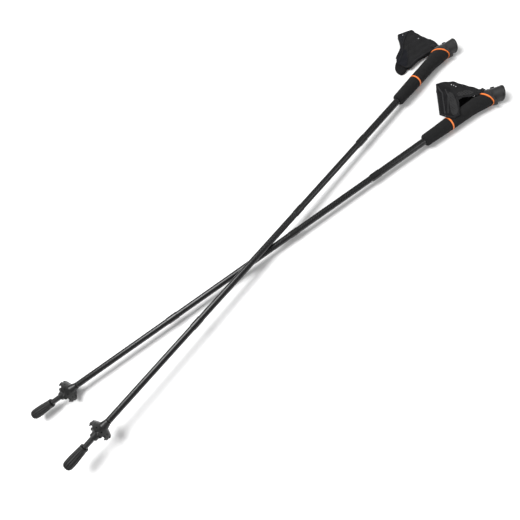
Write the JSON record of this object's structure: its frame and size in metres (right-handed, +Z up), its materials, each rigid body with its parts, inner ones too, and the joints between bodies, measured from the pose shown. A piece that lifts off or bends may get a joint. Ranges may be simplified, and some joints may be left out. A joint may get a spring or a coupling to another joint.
{
  "type": "folding trekking poles",
  "caption": "Pair of folding trail trekking poles laid crossed, with foam grips, click-in hand straps, baskets and rubber tips.",
  "frame": {"origin": "centre of the pair's bounding box, on the ground it lies on", "axes": "+X along the bisector of the two poles towards the grips, +Z up, +Y completes a right-handed frame (the strap side)"},
  "size_m": [1.2235, 0.3021, 0.0734],
  "materials": {
    "head_plastic": "satin",
    "cap_plastic": "satin",
    "button_plastic": "satin",
    "foam": "matte closed-cell foam",
    "ring_orange": "satin",
    "strap_fabric": "woven and perforated",
    "closure_fabric": "brushed loop",
    "cord": "braided",
    "tube_coat": "satin woven carbon fibre",
    "ferrule_gloss": "gloss",
    "spigot_aluminium": "machined",
    "spring_steel": "polished",
    "plug_plastic": "moulded",
    "shaft_plastic": "gloss",
    "basket_plastic": "satin",
    "tip_carbide": "ground",
    "paw_rubber": "matte"
  },
  "bodies": {
    "pole_a_shaft": {"pole_a_grip_head": "head_plastic", "pole_a_top_cap": "cap_plastic", "pole_a_button_spring": "spring_steel", "pole_a_latch_pin": "spring_steel", "pole_a_upper_ring": "ring_orange", "pole_a_grip_foam": "foam", "pole_a_lower_ring": "ring_orange", "pole_a_lower_foam": "foam", "pole_a_upper_tube": "tube_coat", "pole_a_lock_ferrule": "ferrule_gloss", "pole_a_lock_spring": "spring_steel", "pole_a_tube_2": "tube_coat", "pole_a_ferrule_2": "ferrule_gloss", "pole_a_tension_cord": "cord", "pole_a_cord_stop": "plug_plastic"},
    "pole_a_strap_button": {"pole_a_strap_button": "button_plastic"},
    "pole_a_strap": {"pole_a_strap_loop": "cord", "pole_a_hand_strap": "strap_fabric", "pole_a_strap_closure": "closure_fabric"},
    "pole_a_lock_button": {"pole_a_lock_button": "spring_steel"},
    "pole_a_section_3": {"pole_a_spigot_2": "spigot_aluminium", "pole_a_tube_3": "tube_coat", "pole_a_ferrule_3": "ferrule_gloss"},
    "pole_a_section_4": {"pole_a_spigot_3": "spigot_aluminium", "pole_a_tube_4": "tube_coat", "pole_a_cord_anchor": "plug_plastic", "pole_a_tip_shaft": "shaft_plastic", "pole_a_carbide_tip": "tip_carbide"},
    "pole_a_basket": {"pole_a_basket": "basket_plastic"},
    "pole_a_paw": {"pole_a_paw": "paw_rubber"},
    "pole_b_shaft": {"pole_b_grip_head": "head_plastic", "pole_b_top_cap": "cap_plastic", "pole_b_button_spring": "spring_steel", "pole_b_latch_pin": "spring_steel", "pole_b_upper_ring": "ring_orange", "pole_b_grip_foam": "foam", "pole_b_lower_ring": "ring_orange", "pole_b_lower_foam": "foam", "pole_b_upper_tube": "tube_coat", "pole_b_lock_ferrule": "ferrule_gloss", "pole_b_lock_spring": "spring_steel", "pole_b_tube_2": "tube_coat", "pole_b_ferrule_2": "ferrule_gloss", "pole_b_tension_cord": "cord", "pole_b_cord_stop": "plug_plastic"},
    "pole_b_strap_button": {"pole_b_strap_button": "button_plastic"},
    "pole_b_strap": {"pole_b_strap_loop": "cord", "pole_b_hand_strap": "strap_fabric", "pole_b_strap_closure": "closure_fabric"},
    "pole_b_lock_button": {"pole_b_lock_button": "spring_steel"},
    "pole_b_section_3": {"pole_b_spigot_2": "spigot_aluminium", "pole_b_tube_3": "tube_coat", "pole_b_ferrule_3": "ferrule_gloss"},
    "pole_b_section_4": {"pole_b_spigot_3": "spigot_aluminium", "pole_b_tube_4": "tube_coat", "pole_b_cord_anchor": "plug_plastic", "pole_b_tip_shaft": "shaft_plastic", "pole_b_carbide_tip": "tip_carbide"},
    "pole_b_basket": {"pole_b_basket": "basket_plastic"},
    "pole_b_paw": {"pole_b_paw": "paw_rubber"}
  },
  "joints": [
    {"name": "pole_a_lift", "type": "slide", "parent": "pole_b_shaft", "child": "pole_a_shaft", "axis": [0, 0, 1], "range_m": [0, 0.3]},
    {"name": "pole_a_strap_button_press", "type": "slide", "parent": "pole_a_shaft", "child": "pole_a_strap_button", "axis": [-0.3484, -0.9373, 0.014], "range_m": [0, 0.002], "stiffness_N_per_m": 600, "springref_m": -0.0008, "deforming": ["pole_a_button_spring"]},
    {"name": "pole_a_strap_swing", "type": "hinge", "parent": "pole_a_shaft", "child": "pole_a_strap", "pos_m": [0.58432, 0.03847, 0.01626], "axis": [0.0296, 0.004, 0.9996], "range_deg": [-20, 6]},
    {"name": "pole_a_lock_button_press", "type": "slide", "parent": "pole_a_shaft", "child": "pole_a_lock_button", "axis": [-0.0913, 0.8142, 0.5733], "range_m": [0, 0.002], "stiffness_N_per_m": 900, "springref_m": -0.0008, "deforming": ["pole_a_lock_spring"]},
    {"name": "pole_a_section_3_pull", "type": "slide", "parent": "pole_a_shaft", "child": "pole_a_section_3", "axis": [-0.9908, -0.1322, 0.0299], "range_m": [0, 0.04]},
    {"name": "pole_a_section_4_pull", "type": "slide", "parent": "pole_a_section_3", "child": "pole_a_section_4", "axis": [-0.9908, -0.1322, 0.0299], "range_m": [0, 0.04]},
    {"name": "pole_a_basket_turn", "type": "hinge", "parent": "pole_a_section_4", "child": "pole_a_basket", "pos_m": [-0.48113, -0.11226, 0.04844], "axis": [0.9908, 0.1322, -0.0299], "continuous": true},
    {"name": "pole_a_paw_pull", "type": "slide", "parent": "pole_a_section_4", "child": "pole_a_paw", "axis": [-0.9908, -0.1322, 0.0299], "range_m": [0, 0.045]},
    {"name": "pole_b_strap_button_press", "type": "slide", "parent": "pole_b_shaft", "child": "pole_b_strap_button", "axis": [-0.5821, -0.8131, 0.0041], "range_m": [0, 0.002], "stiffness_N_per_m": 600, "springref_m": -0.0008, "deforming": ["pole_b_button_spring"]},
    {"name": "pole_b_strap_swing", "type": "hinge", "parent": "pole_b_shaft", "child": "pole_b_strap", "pos_m": [0.54815, -0.1157, 0.01575], "axis": [0.0086, -0.0011, 1], "range_deg": [-20, 6]},
    {"name": "pole_b_lock_button_press", "type": "slide", "parent": "pole_b_shaft", "child": "pole_b_lock_button", "axis": [0.1132, 0.8113, 0.5736], "range_m": [0, 0.002], "stiffness_N_per_m": 900, "springref_m": -0.0008, "deforming": ["pole_b_lock_spring"]},
    {"name": "pole_b_section_3_pull", "type": "slide", "parent": "pole_b_shaft", "child": "pole_b_section_3", "axis": [-0.9912, 0.1323, 0.0086], "range_m": [0, 0.04]},
    {"name": "pole_b_section_4_pull", "type": "slide", "parent": "pole_b_section_3", "child": "pole_b_section_4", "axis": [-0.9912, 0.1323, 0.0086], "range_m": [0, 0.04]},
    {"name": "pole_b_basket_turn", "type": "hinge", "parent": "pole_b_section_4", "child": "pole_b_basket", "pos_m": [-0.51997, 0.01825, 0.02505], "axis": [0.9912, -0.1323, -0.0086], "continuous": true},
    {"name": "pole_b_paw_pull", "type": "slide", "parent": "pole_b_section_4", "child": "pole_b_paw", "axis": [-0.9912, 0.1323, 0.0086], "range_m": [0, 0.045]}
  ]
}
